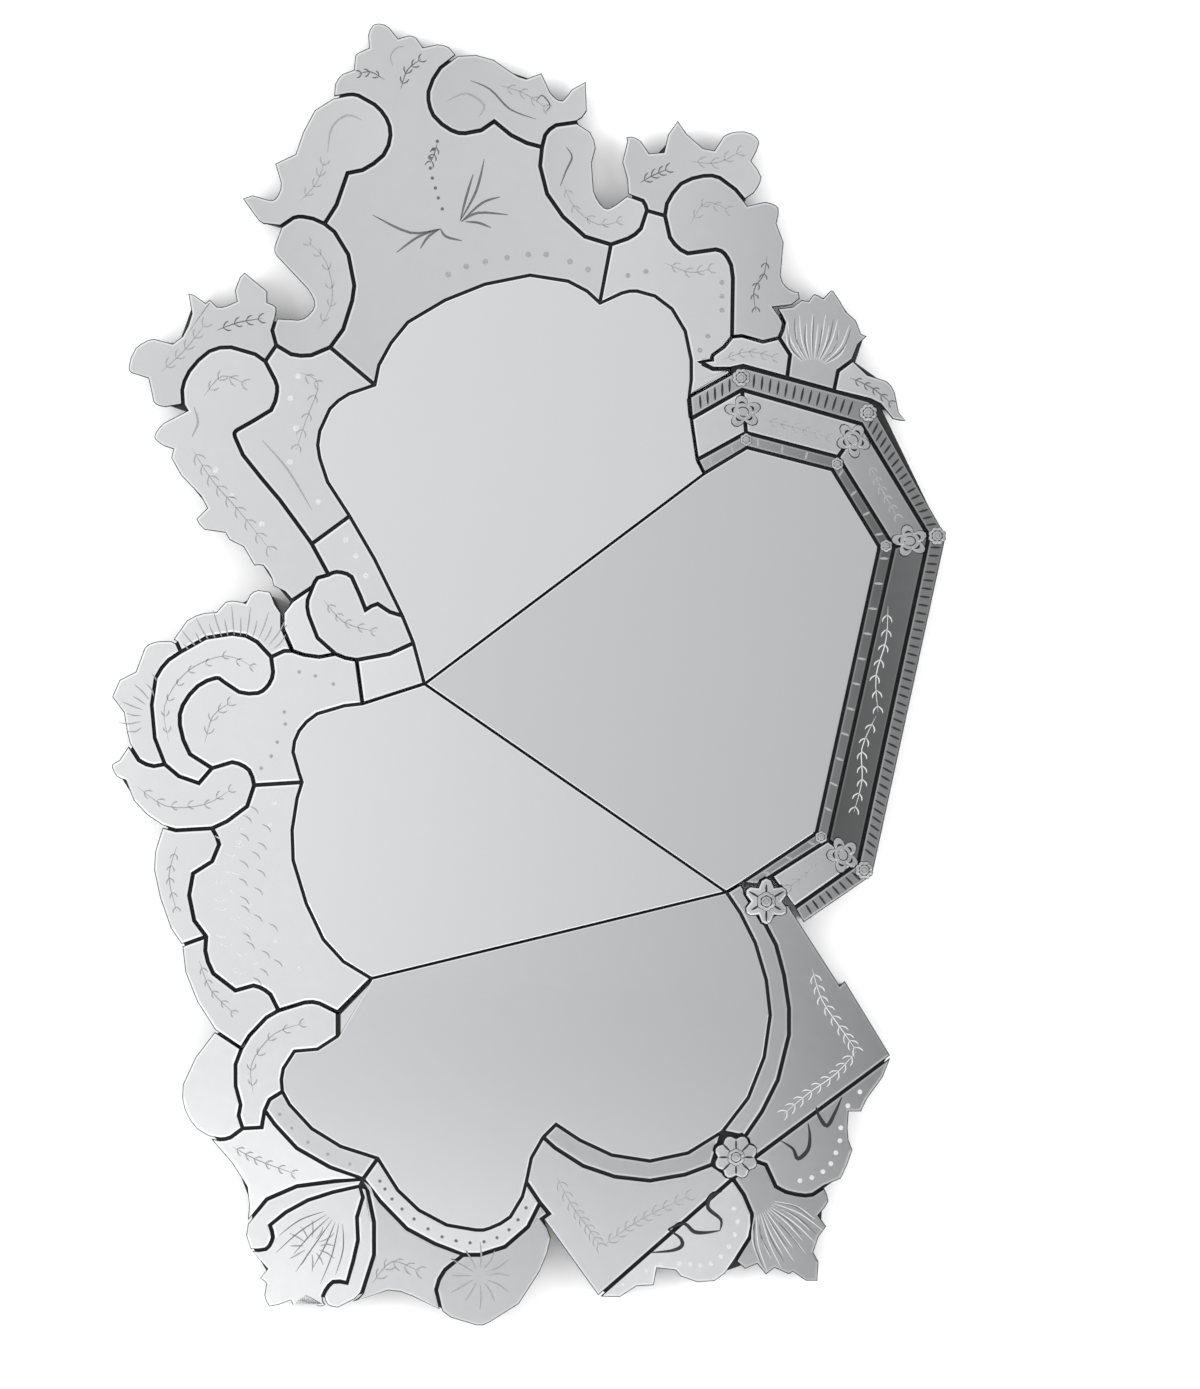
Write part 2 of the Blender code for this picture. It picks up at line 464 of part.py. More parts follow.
board("board_right",
      [PEAK[:2], EAST[:2], (698, 460), (692, 419), (690, 398), (731, 376), (731, 367), (716, 366),
       (704, 362), (714, 360), (735, 340), (765, 346), (781, 340), (787, 326), (780, 312), (815, 298),
       (836, 296), (858, 326), (864, 338), (856, 362), (888, 385), (896, 412), (882, 408),
       (944, 536), (870, 873), (804, 920), (794, 906), (771, 878), (757, 884), (741, 882),
       SOUTH[:2]], RIGHT)
board("board_left",
      [PEAK[:2], SOUTH[:2], HOLLOW[:2], (338, 1011), (305, 1001), (279, 1009), (267, 1016),
       (250, 1034), (242, 1046), (217, 1028), (200, 1003), (188, 972), (185, 946),
       (164, 900), (158, 870), (168, 828), (136, 800), (118, 772), (134, 744), (130, 714),
       (118, 696), (140, 674), (150, 649), (176, 643), (192, 622), (216, 615), (240, 604),
       (260, 594), (272, 596), (280, 613), (281, 630), (292, 652), (315, 658), (336, 656),
       (357, 662), WEST[:2]], LEFT)
board("board_bottom",
      [HOLLOW[:2], SOUTH[:2], (741, 885), (762, 922), (788, 906), (838, 986), (845, 984),
       (888, 1057), (864, 1100), (846, 1112), (848, 1148), (838, 1180), (824, 1190),
       (822, 1226), (813, 1240), (814, 1278), (790, 1271), (750, 1264), (712, 1278),
       (680, 1272), (652, 1266), (648, 1284), (604, 1294), (545, 1222), (546, 1240),
       (536, 1270), (515, 1303), (478, 1323), (446, 1312), (410, 1294), (385, 1288),
       (345, 1300), (300, 1297), (272, 1300), (268, 1275), (252, 1248), (251, 1205),
       (234, 1160), (212, 1135), (190, 1118), (187, 1084), (200, 1056), (217, 1033),
       (241, 1050), (252, 1037), (268, 1019), (281, 1012), (305, 1005), (338, 1014)],
      LOW)
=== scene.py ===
import math
import random

import bpy
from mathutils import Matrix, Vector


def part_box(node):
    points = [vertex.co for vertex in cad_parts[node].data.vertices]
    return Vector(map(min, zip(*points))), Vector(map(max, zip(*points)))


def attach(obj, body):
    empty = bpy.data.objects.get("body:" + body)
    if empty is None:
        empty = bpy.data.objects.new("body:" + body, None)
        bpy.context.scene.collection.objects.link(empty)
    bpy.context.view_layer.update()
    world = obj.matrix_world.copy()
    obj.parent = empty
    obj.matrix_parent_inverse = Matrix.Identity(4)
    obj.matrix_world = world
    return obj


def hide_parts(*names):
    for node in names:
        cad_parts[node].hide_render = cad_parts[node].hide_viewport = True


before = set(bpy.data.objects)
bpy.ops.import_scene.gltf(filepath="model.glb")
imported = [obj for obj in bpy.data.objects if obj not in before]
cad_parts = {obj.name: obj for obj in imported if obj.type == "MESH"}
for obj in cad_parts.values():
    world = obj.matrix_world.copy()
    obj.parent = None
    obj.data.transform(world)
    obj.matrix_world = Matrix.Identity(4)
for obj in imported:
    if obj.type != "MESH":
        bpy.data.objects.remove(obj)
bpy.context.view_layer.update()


# Backing boards: four pieces of pine board, tilted so that they meet in the creases of the
# face. They are painted black, with brush marks and grain showing, and carry all the glass.
class Value:
    """A shader socket that takes part in sums."""

    def __init__(self, tree, socket):
        self.tree = tree
        self.socket = socket

    def node(self, kind, settings=None, **sockets):
        """A node of this tree. A socket is named, or has its number after an underscore."""
        made = self.tree.nodes.new(kind)
        for name, value in (settings or {}).items():
            setattr(made, name, value)
        for name, value in sockets.items():
            spot = made.inputs[int(name[1:])] if name[0] == "_" else made.inputs[name]
            if isinstance(value, Value):
                self.tree.links.new(value.socket, spot)
            else:
                spot.default_value = value
        return made

    def maths(self, how, first, second):
        made = self.node("ShaderNodeMath", {"operation": how}, _0=first, _1=second)
        return Value(self.tree, made.outputs[0])

    def __add__(self, other):
        return self.maths("ADD", self, other)

    def __mul__(self, other):
        return self.maths("MULTIPLY", self, other)

    def __sub__(self, other):
        return self.maths("SUBTRACT", self, other)

    def __rsub__(self, other):
        return self.maths("SUBTRACT", other, self)

    __radd__ = __add__
    __rmul__ = __mul__


def new_material(name):
    """A material, its shader, and the place on the object that its patterns read."""
    material = bpy.data.materials.new(name)
    material.use_nodes = True
    tree = material.node_tree
    place = tree.nodes.new("ShaderNodeTexCoord").outputs["Object"]
    return material, tree.nodes["Principled BSDF"], Value(tree, place)


def noise(place, scale, detail=3.0):
    made = place.node("ShaderNodeTexNoise", None, Vector=place, Scale=scale, Detail=detail)
    return Value(place.tree, made.outputs[0])


def coat(shader, red, green, blue, rough):
    """Feeds a shader's colour and its roughness."""
    colour = red.node("ShaderNodeCombineColor", None, Red=red, Green=green, Blue=blue)
    red.tree.links.new(colour.outputs[0], shader.inputs["Base Color"])
    red.tree.links.new(rough.socket, shader.inputs["Roughness"])


def dent(shader, height, strength, depth):
    """Feeds a shader's normal with a shallow pattern in the surface."""
    bump = height.node("ShaderNodeBump", None, Strength=strength, Distance=depth, Height=height)
    height.tree.links.new(bump.outputs[0], shader.inputs["Normal"])


GRAIN_STRETCH = (40.0, 3.0, 3.0)
GRAIN_SCALE = 6.0
GRAIN_DETAIL = 8.0
GRAIN_TONE = 0.02
PAINT_TONE = 0.004
PAINT_WARMTH = 1.05
PAINT_ROUGH = 0.45
PAINT_SCUFF = 0.25
BRUSH_STRENGTH = 0.4
BRUSH_DEPTH = 0.0006
board_paint, shader, place = new_material("board_paint")
stretch = place.node("ShaderNodeMapping", None, Vector=place, Scale=GRAIN_STRETCH)
grain = noise(Value(place.tree, stretch.outputs[0]), GRAIN_SCALE, GRAIN_DETAIL)
tone = grain * GRAIN_TONE + PAINT_TONE
coat(shader, tone * PAINT_WARMTH, tone, tone, grain * PAINT_SCUFF + PAINT_ROUGH)
dent(shader, grain, BRUSH_STRENGTH, BRUSH_DEPTH)
for node in ("board_top", "board_right", "board_left", "board_bottom"):
    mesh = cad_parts[node].data
    for number in range(len(mesh.materials)):
        mesh.materials[number] = board_paint


# The four big plates: sheet mirror, very smooth, each lying on its own tilted board. They are
# held in the middle by the pressure of their neighbours, with small dark joints between them.
SILVER_TINT = (0.985, 0.992, 1.01)
DRIFT_SCALE = 2.6
MOTTLE_SCALE = 55.0
MOTTLE_DETAIL = 6.0
SMEAR_SCALE = 18.0
SMEAR_ROUGH = 0.05
RIPPLE_SCALE = 9.0
RIPPLE_STRENGTH = 0.05
RIPPLE_DEPTH = 0.0004


def linear(tone):
    """A grey of 0 to 255 in a picture, as the share of light that it stands for."""
    return ((tone / 255 + 0.055) / 1.055) ** 2.4


def glass(name, left, right, low, high, rough=0.05, cloud=0.05):
    """Silvered glass with slow drifts in the silver and a faint cloudiness. Its tone goes
    evenly from left, where x is low, to right, where x is high. The tones given are painted
    reflection and shade, the light and dark that a mirror shows of its room."""
    material, shader, place = new_material(name)
    split = place.node("ShaderNodeSeparateXYZ", None, Vector=place)
    along = (Value(place.tree, split.outputs[0]) - low) * (1 / max(high - low, 0.001))
    drift = noise(place, DRIFT_SCALE) - 0.5
    mottle = noise(place, MOTTLE_SCALE, MOTTLE_DETAIL) - 0.5
    # Painted reflection and shade: the tone runs from the left tone to the right one.
    tone = along * (linear(right) - linear(left)) + linear(left)
    tone = tone * (1.0 + drift * (2 * cloud) + mottle * cloud)
    red, green, blue = (tone * tint for tint in SILVER_TINT)
    coat(shader, red, green, blue, noise(place, SMEAR_SCALE) * SMEAR_ROUGH + rough)
    dent(shader, noise(place, RIPPLE_SCALE), RIPPLE_STRENGTH, RIPPLE_DEPTH)
    shader.inputs["Metallic"].default_value = 1.0
    return material


# A pane's ground edge is matt, and blackened by the paint behind the silver.
EDGE_GRIT_SCALE = 120.0
EDGE_GRIT = 0.012
EDGE_TONE = 0.004
EDGE_SCUFF_SCALE = 60.0
EDGE_SCUFF = 0.2
EDGE_ROUGH = 0.55
EDGE_SHINE = 0.1
EDGE, shader, place = new_material("ground_edge")
tone = noise(place, EDGE_GRIT_SCALE) * EDGE_GRIT + EDGE_TONE
coat(shader, tone, tone, tone, noise(place, EDGE_SCUFF_SCALE) * EDGE_SCUFF + EDGE_ROUGH)
shader.inputs["Specular IOR Level"].default_value = EDGE_SHINE

# The materials of a dressed pane, by their number on it, and how its bevel is made. The
# bevel's silver is painted paler than the pane's, as a painted highlight.
SEAM, SILVER, BEVEL = 0, 1, 2
# Painted highlight: the bevel's silver is this much paler than its pane's.
BEVEL_PAINTED_GLINT = 14
BEVEL_PALEST = 246
BEVEL_ROUGH = 0.09
BEVEL_CLOUD = 0.1
FACING_OUT = -0.8
WELD = 0.00002
SAME_PLANE = math.radians(0.6)
# These panes are too narrow somewhere for an inset of even width.
NARROW = ("corner_leaf", "leaf_strip_right", "leaf_strip_upper", "octagon_tail", "foot_body",
          "side_panel_right")


def set_ring(mesh, finish):
    """Gives a finish to the ring of faces that the last inset left round the silver."""
    for face in mesh.polygons:
        if face.material_index == SILVER and not face.select:
            face.material_index = finish


def dress(node, left, right, rim=0.0026, drop=0.00045, line=0.0011, rough=0.05, cloud=0.05):
    """A pane cut like its solid, with a dark seam as wide as line round its front, and inside
    it a bevel as wide as rim, ground down by drop."""
    low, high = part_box(node)
    across = low[0], high[0]
    bpy.ops.object.select_all(action="DESELECT")
    pane = bpy.data.objects.new("glass_" + node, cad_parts[node].data.copy())
    bpy.context.scene.collection.objects.link(pane)
    bpy.context.view_layer.objects.active = pane
    pane.select_set(True)
    pane.data.materials.clear()
    pane.data.materials.append(EDGE)
    pane.data.materials.append(glass("glass_" + node, left, right, *across, rough, cloud))
    # Painted highlight: the bevel's tones are the pane's tones made paler.
    painted_glint_tones = [min(BEVEL_PALEST, tone + BEVEL_PAINTED_GLINT) for tone in (left, right)]
    pane.data.materials.append(glass("bevel_" + node, *painted_glint_tones, *across, BEVEL_ROUGH, BEVEL_CLOUD))
    for face in pane.data.polygons:
        face.material_index = SEAM
        face.use_smooth = False
    bpy.ops.object.mode_set(mode="EDIT")
    bpy.ops.mesh.select_all(action="SELECT")
    bpy.ops.mesh.remove_doubles(threshold=WELD)
    bpy.ops.mesh.customdata_custom_splitnormals_clear()
    bpy.ops.mesh.dissolve_limited(angle_limit=SAME_PLANE)
    bpy.ops.mesh.select_all(action="DESELECT")
    bpy.ops.object.mode_set(mode="OBJECT")
    faces = [face for face in pane.data.polygons if face.normal.y < FACING_OUT]
    for face in faces:
        face.select = True
        face.material_index = SILVER
    normal = faces[0].normal.copy()
    bpy.ops.object.mode_set(mode="EDIT")
    bpy.ops.mesh.select_mode(type="FACE")
    bpy.ops.transform.translate(value=-normal * drop)
    even = node not in NARROW
    bpy.ops.mesh.inset(thickness=line, depth=0, use_even_offset=even)
    bpy.ops.object.mode_set(mode="OBJECT")
    set_ring(pane.data, SEAM)
    bpy.ops.object.mode_set(mode="EDIT")
    bpy.ops.mesh.inset(thickness=rim, depth=drop, use_even_offset=even)
    bpy.ops.object.mode_set(mode="OBJECT")
    set_ring(pane.data, BEVEL)
    for vertex in pane.data.vertices:
        for axis in (0, 2):
            vertex.co[axis] = min(max(vertex.co[axis], low[axis]), high[axis])
    pane.select_set(False)
    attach(pane, "root")
    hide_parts(node)


def dress_all(tones, paler=0, **cut):
    """Dresses each node with the tones of its left and right edge, as a photo shows them."""
    for node, (left, right) in tones.items():
        dress(node, left + paler, right + paler, **cut)


# The plates' tones are painted reflection and shade: each plate's grey, and its fall from left to
# right, stand in for the room that its tilt mirrors.
dress_all({
    "plate_top": (215, 207), "plate_right": (206, 189), "plate_left": (225, 203),
    "plate_bottom": (214, 186),
}, rim=0.0014, drop=0.0004, line=0.0003, rough=0.03, cloud=0.015)


# Crest: the panel over the top plate, its two scrolls and the two long hooks beside them. All
# are bevelled mirror glass with sprigs cut into the front, screwed to the top board.
# Their tones are painted reflection and shade, lighter or darker by pane and from left to right.
dress_all({
    "crest_panel": (196, 200), "crest_scroll_left": (196, 204), "crest_scroll_right": (192, 200),
    "hook_left": (194, 202), "hook_right": (194, 204),
})

# The face is laid out on a grid of 1307 units in 1.83 m of height. Its zero is up and to the
# left, and the mount on the wall lies at (500, 420) on it.
UNIT = 1.83 / 1307
MOUNT_X = 500
MOUNT_Y = 420


def at(x, y, deep=0.0):
    return ((x - MOUNT_X) * UNIT, -deep, (MOUNT_Y - y) * UNIT)


def front_of(node):
    """The plane of a pane's front, as a function from grid point to distance from the wall."""
    faces = [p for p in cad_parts[node].data.polygons if p.normal.y < FACING_OUT]
    face = max(faces, key=lambda p: p.area)
    spot, normal = face.center.copy(), face.normal.copy()

    def deep(x, y):
        px, _, pz = at(x, y)
        return -(spot.y - (normal.x * (px - spot.x) + normal.z * (pz - spot.z)) / normal.y)
    return deep


# A cut is a matt groove in the silver. It is pale where it is fresh, and greyer or black where
# the dark board shows through.
CUT_GRIT_SCALE = 300.0
CUT_GRIT = 0.5
CUT_SCUFF_SCALE = 200.0
CUT_SCUFF = 0.2


def cut_material(name, tone, rough):
    material, shader, place = new_material(name)
    light = linear(tone)
    value = noise(place, CUT_GRIT_SCALE) * light * CUT_GRIT + light * (1 - CUT_GRIT / 2)
    coat(shader, value, value, value, noise(place, CUT_SCUFF_SCALE) * CUT_SCUFF + rough)
    return material


CUTS = {
    "grey": cut_material("cut_grey", tone=84, rough=0.6),
    "pale": cut_material("cut_pale", tone=178, rough=0.55),
    "soft": cut_material("cut_soft", tone=132, rough=0.55),
    "black": cut_material("cut_black", tone=22, rough=0.5),
}
CUT_LIFT = 0.00012
CURVE_STEPS = 4
TIP = 0.15
DOT_SIDES = 10
LEAF_SPLAY = 0.8
drawn = {}


def between(first, last, share):
    return tuple(p + (q - p) * share for p, q in zip(first, last))


def stroke(node, look, points, width=1.6):
    """A groove that tapers to both ends, along a smooth line through the points."""
    verts, faces = drawn.setdefault((node, look), ([], []))
    deep = front_of(node)
    ends = [points[0]] + points + [points[-1]]
    line = []
    for a, b, c, d in zip(ends, ends[1:], ends[2:], ends[3:]):
        for step in range(CURVE_STEPS):
            t = step / CURVE_STEPS
            line.append([q + 0.5 * t * (r - p) + t * t * (p - 2.5 * q + 2 * r - 0.5 * s)
                         + t ** 3 * (1.5 * q - 0.5 * p - 1.5 * r + 0.5 * s)
                         for p, q, r, s in zip(a, b, c, d)])
    line.append(list(points[-1]))
    first = len(verts)
    for i, (x, y) in enumerate(line):
        before, after = line[max(i - 1, 0)], line[min(i + 1, len(line) - 1)]
        dx, dy = after[0] - before[0], after[1] - before[1]
        size = math.hypot(dx, dy) or 1.0
        swell = math.sin(math.pi * (i + 0.3) / (len(line) - 0.4))
        half = width / 2 * (TIP + (1 - TIP) * swell)
        for side in (-half, half):
            sx, sy = x - dy / size * side, y + dx / size * side
            verts.append(at(sx, sy, deep(sx, sy) + CUT_LIFT))
        if i:
            k = first + 2 * i
            faces.append((k - 2, k - 1, k + 1, k))


def dots(node, look, points, radius=1.6):
    """Round pearls, each a shallow dish in the glass."""
    verts, faces = drawn.setdefault((node, look), ([], []))
    deep = front_of(node)
    for x, y in points:
        first = len(verts)
        for k in range(DOT_SIDES):
            sx = x + radius * math.cos(math.tau * k / DOT_SIDES)
            sy = y - radius * math.sin(math.tau * k / DOT_SIDES)
            verts.append(at(sx, sy, deep(sx, sy) + CUT_LIFT))
        faces.append(tuple(range(first, first + DOT_SIDES)))


def sprig(node, look, points, leaves, size, width=1.3):
    """A stem through the points, with so many pairs of leaves, each of the size given."""
    stroke(node, look, points, width)
    for i in range(leaves):
        t = (i + 0.6) / leaves * (len(points) - 1)
        k = min(int(t), len(points) - 2)
        x, y = between(points[k], points[k + 1], t - k)
        way = math.atan2(points[k + 1][1] - points[k][1], points[k + 1][0] - points[k][0])
        for side in (-LEAF_SPLAY, LEAF_SPLAY):
            stroke(node, look, [(x, y), (x + size * 0.6 * math.cos(way + side),
                                         y + size * 0.6 * math.sin(way + side)),
                                (x + size * math.cos(way + side * 0.7),
                                 y + size * math.sin(way + side * 0.7))], width * 1.2)


def add_piece(name, verts, faces, *materials):
    """A piece of glass, or of work in the glass, that has no solid of its own."""
    mesh = bpy.data.meshes.new(name)
    mesh.from_pydata(verts, [], faces)
    for material in materials:
        mesh.materials.append(material)
    piece = bpy.data.objects.new(name, mesh)
    bpy.context.scene.collection.objects.link(piece)
    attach(piece, "root")
    return mesh


def add_cuts():
    """Makes all that has been drawn on a pane with one kind of cut a piece."""
    for (node, look), (verts, faces) in drawn.items():
        add_piece("cuts_" + look + "_" + node, verts, faces, CUTS[look])
    drawn.clear()


# On the panel: sprigs at the top, a dotted stem, a tuft of grass, and pearls over the arch.
sprig("crest_panel", "grey", [(400, 88), (407, 68), (421, 57)], 4, 8)
sprig("crest_panel", "grey", [(384, 78), (370, 70), (358, 72)], 3, 7)
stroke("crest_panel", "soft", [(392, 64), (390, 54), (396, 46), (404, 44)])
dots("crest_panel", "grey", [(437, 140), (433, 148), (430, 157), (430, 167), (432, 177),
                             (435, 187), (438, 197), (442, 208)], 1.8)
sprig("crest_panel", "grey", [(437, 142), (434, 152), (430, 162)], 3, 8)
for blade in ([(460, 220), (466, 196), (473, 173)], [(460, 220), (476, 190), (484, 158)],
              [(461, 221), (478, 212), (508, 214)], [(465, 221), (478, 222), (491, 227)],
              [(440, 228), (410, 232), (372, 214)], [(440, 228), (418, 236), (396, 252)],
              [(440, 228), (428, 236), (420, 248)], [(440, 228), (446, 236), (462, 240)],
              [(461, 221), (482, 202), (500, 196)]):
    stroke("crest_panel", "grey", blade, 2.6)
dots("crest_panel", "soft", [(448, 274), (466, 266), (485, 261), (507, 257), (528, 254),
                             (546, 254), (570, 261), (588, 269)], 3.0)
stroke("crest_scroll_left", "soft", [(327, 152), (331, 127), (346, 114), (362, 119)], 2.2)
sprig("crest_scroll_left", "soft", [(300, 200), (316, 182), (324, 160)], 4, 9)
stroke("crest_scroll_right", "grey", [(470, 79), (490, 88), (510, 108), (536, 118)], 2.0)
stroke("crest_scroll_right", "soft", [(446, 100), (466, 92), (484, 104), (478, 116)], 2.4)
sprig("crest_scroll_right", "soft", [(500, 84), (524, 92), (548, 108)], 4, 9)
stroke("crest_scroll_right", "grey", [(536, 100), (542, 94), (550, 104), (545, 111)])
sprig("hook_left", "soft", [(318, 330), (332, 300), (326, 262), (306, 240)], 6, 8)
stroke("hook_right", "grey", [(566, 146), (572, 156), (566, 170), (560, 186)], 2.0)
sprig("hook_right", "soft", [(562, 180), (574, 206), (598, 224), (622, 220)], 5, 8)
add_cuts()


# Shoulders: the leaves, side scrolls and side panels below the hooks, and the small panes at
# the waist. They are bevelled mirror glass cut with sprigs and long wavy stems, screwed on.
# Their tones are painted reflection and shade, lighter or darker by pane and from left to right.
dress_all({
    "shoulder_leaf_left": (206, 200), "shoulder_leaf_right": (192, 198),
    "side_scroll_left": (214, 208), "side_scroll_right": (196, 180),
    "side_panel_left": (211, 206), "side_panel_right": (206, 200), "waist_strip": (213, 210),
    "heart": (216, 212), "crescent": (224, 220), "small_strip": (222, 216),
})
sprig("shoulder_leaf_left", "grey", [(216, 330), (238, 322), (262, 318)], 4, 9)
sprig("shoulder_leaf_left", "soft", [(160, 372), (184, 350), (206, 322)], 5, 10)
sprig("shoulder_leaf_right", "grey", [(640, 182), (654, 174), (668, 168)], 4, 9)
sprig("shoulder_leaf_right", "soft", [(690, 160), (716, 162), (742, 150)], 4, 10)
stroke("side_scroll_left", "soft", [(194, 407), (198, 422), (192, 437)], 2.4)
sprig("side_scroll_left", "soft", [(204, 396), (222, 376), (246, 384)], 4, 10)
sprig("side_scroll_left", "soft", [(192, 448), (212, 480), (240, 512), (272, 552)], 9, 11)
dots("side_scroll_left", "pale", [(216, 470), (232, 496), (262, 524)], 3)
sprig("side_scroll_right", "grey", [(767, 256), (764, 274), (754, 290), (756, 312)], 5, 7)
sprig("side_scroll_right", "soft", [(690, 224), (706, 202), (730, 210)], 4, 9)
stroke("side_panel_left", "soft", [(262, 440), (288, 470), (312, 510)], 2.2)
sprig("side_panel_left", "soft", [(300, 372), (318, 384), (306, 420), (296, 450)], 6, 9)
dots("side_panel_left", "pale", [(298, 376), (290, 398), (296, 428), (290, 462),
                                 (318, 502)], 3)
dots("side_panel_right", "soft", [(628, 275), (646, 271), (722, 282), (722, 296), (722, 310),
                                  (708, 336), (700, 350)], 2.6)
sprig("side_panel_right", "soft", [(664, 262), (690, 272), (712, 268)], 4, 9)
dots("waist_strip", "pale", [(346, 540), (356, 556), (366, 576)], 3)
sprig("heart", "soft", [(324, 600), (344, 622), (376, 632)], 5, 8)
add_cuts()


# Left side: the palest panes, their paleness painted reflection, with the ring scroll and the
# comma that hooks into it. They are mirror glass on the left board, cut with fans of fine lines
# and columns of faint dashes.
dress_all({
    "fan": (224, 220), "outer_wave": (230, 226), "ring_scroll": (231, 228),
    "comma_scroll": (231, 226), "left_panel_upper": (229, 222),
    "left_panel_lower": (228, 222), "left_scroll_upper": (231, 226),
    "left_scroll_lower": (228, 224),
})


def spray(node, look, centre, near, far, start, end, count, width=1.5, bend=6):
    """Strokes that fan out from a point, with angles in degrees from the right, downwards.
    They run from near to far from it, every other one a little shorter."""
    for i in range(count):
        share = i / max(count - 1, 1)
        turn = math.radians(start + (end - start) * share)
        reach = far * (0.86 + 0.14 * (i % 2))
        c, s = math.cos(turn), math.sin(turn)
        sway = 0.4 * bend * (2 * share - 1)
        middle = (near + reach) / 2
        stroke(node, look, [(centre[0] + near * c, centre[1] + near * s),
                            (centre[0] + middle * c - sway * s, centre[1] + middle * s + sway * c),
                            (centre[0] + reach * c, centre[1] + reach * s)], width)


spray("fan", "soft", (240, 690), near=54, far=84, start=-140, end=-50, count=15, bend=4)
spray("outer_wave", "soft", (170, 720), near=28, far=50, start=165, end=250, count=8)
sprig("ring_scroll", "soft", [(170, 742), (166, 706), (188, 672), (226, 656), (256, 668)], 9, 7)
sprig("comma_scroll", "soft", [(138, 786), (168, 806), (206, 804), (234, 788)], 7, 8)
dots("left_panel_upper", "soft", [(285, 712), (286, 724), (278, 742), (272, 756), (262, 768),
                                  (300, 672), (316, 676), (334, 684)], 1.9)
sprig("left_panel_upper", "soft", [(206, 742), (214, 716), (232, 702)], 4, 9)
DASH_ROWS = 20
DASH_PITCH = 9
DASH_TOP = 806
DASH_COLUMN = 262
DASH_SWAY = (-24, 14)
rng = random.Random(7)
for row in range(DASH_ROWS):
    y = DASH_TOP + DASH_PITCH * row
    x = DASH_COLUMN + rng.uniform(*DASH_SWAY)
    stroke("left_panel_lower", "soft", [(x, y), (x + 6, y + 3), (x + 9, y + 8)], 1.5)
    stroke("left_panel_lower", "pale", [(x - 26, y + 2), (x - 20, y + 5), (x - 14, y + 3)], 1.5)
dots("left_panel_lower", "pale", [(275, 803), (270, 825), (240, 842), (228, 872), (250, 905),
                                  (276, 940), (300, 968)], 2.6)
sprig("left_scroll_upper", "soft", [(178, 846), (170, 876), (178, 912)], 5, 7)
sprig("left_scroll_lower", "soft", [(200, 960), (212, 990), (236, 1014)], 5, 7)
add_cuts()


# Bottom left: the front scroll, the two borders of the bottom plate, and the leaves that end
# in the foot. Their tones are painted reflection and shade. They lean towards the floor, which
# is duller than the room, so that their silver is painted paler, as painted light, and they are
# cut with long curves, a fan and dots along the border.
# Painted light: how much paler the silver is painted, to make up for the dull floor it mirrors.
PAINTED_FLOOR_LIFT = 10
LOWER_CLOUD = 0.09
dress_all({
    "front_scroll": (222, 214), "round_drop": (232, 228), "border_left": (200, 192),
    "border_bottom": (202, 196), "corner_body": (228, 222), "leaf_strip_upper": (214, 206),
    "leaf_strip_right": (206, 198), "corner_leaf": (214, 204), "foot_body": (186, 180),
    "foot_drop": (174, 168),
}, paler=PAINTED_FLOOR_LIFT, cloud=LOWER_CLOUD)

# A sliver of glass fills the throat between the front scroll and the left plate. Its back and
# its front are sunk below the front of the bottom plate.
SLIVER_BACK = 0.0045
SLIVER_FRONT = 0.0006
THROAT = ((370, 984), (341, 1033), (341, 1014))
# Its tone, falling a little from left to right, is painted reflection and shade.
sliver_glass = glass("throat_sliver", left=222, right=216, low=-0.23, high=-0.17)
deep = front_of("plate_bottom")
verts = [at(x, y, deep(x, y) - sink) for sink in (SLIVER_BACK, SLIVER_FRONT) for x, y in THROAT]
faces = [(0, 1, 2), (5, 4, 3), (0, 3, 4, 1), (1, 4, 5, 2), (2, 5, 3, 0)]
add_piece("throat_sliver", verts, faces, sliver_glass)

sprig("front_scroll", "soft", [(254, 1094), (252, 1064), (274, 1034), (306, 1022)], 6, 8)
sprig("corner_body", "soft", [(232, 1146), (258, 1160), (296, 1174)], 6, 8)
spray("corner_leaf", "grey", (346, 1200), near=24, far=88, start=98, end=152, count=7,
      width=1.2, bend=10)
spray("corner_leaf", "soft", (312, 1246), near=8, far=26, start=0, end=330, count=12,
      width=1.6, bend=4)
dots("border_bottom", "grey", [(380, 1181), (385, 1189), (392, 1199), (402, 1209),
                               (414, 1219), (428, 1229), (442, 1237), (456, 1241),
                               (470, 1243), (484, 1242), (497, 1238), (509, 1230),
                               (518, 1220), (526, 1208)], 1.7)
dots("border_left", "soft", [(280, 1114), (292, 1128), (308, 1142), (328, 1154),
                             (350, 1164)], 1.7)
sprig("foot_body", "soft", [(372, 1284), (392, 1262), (420, 1272)], 5, 11)
spray("foot_drop", "soft", (480, 1276), near=8, far=34, start=0, end=330, count=12,
      width=1.6, bend=5)
add_cuts()


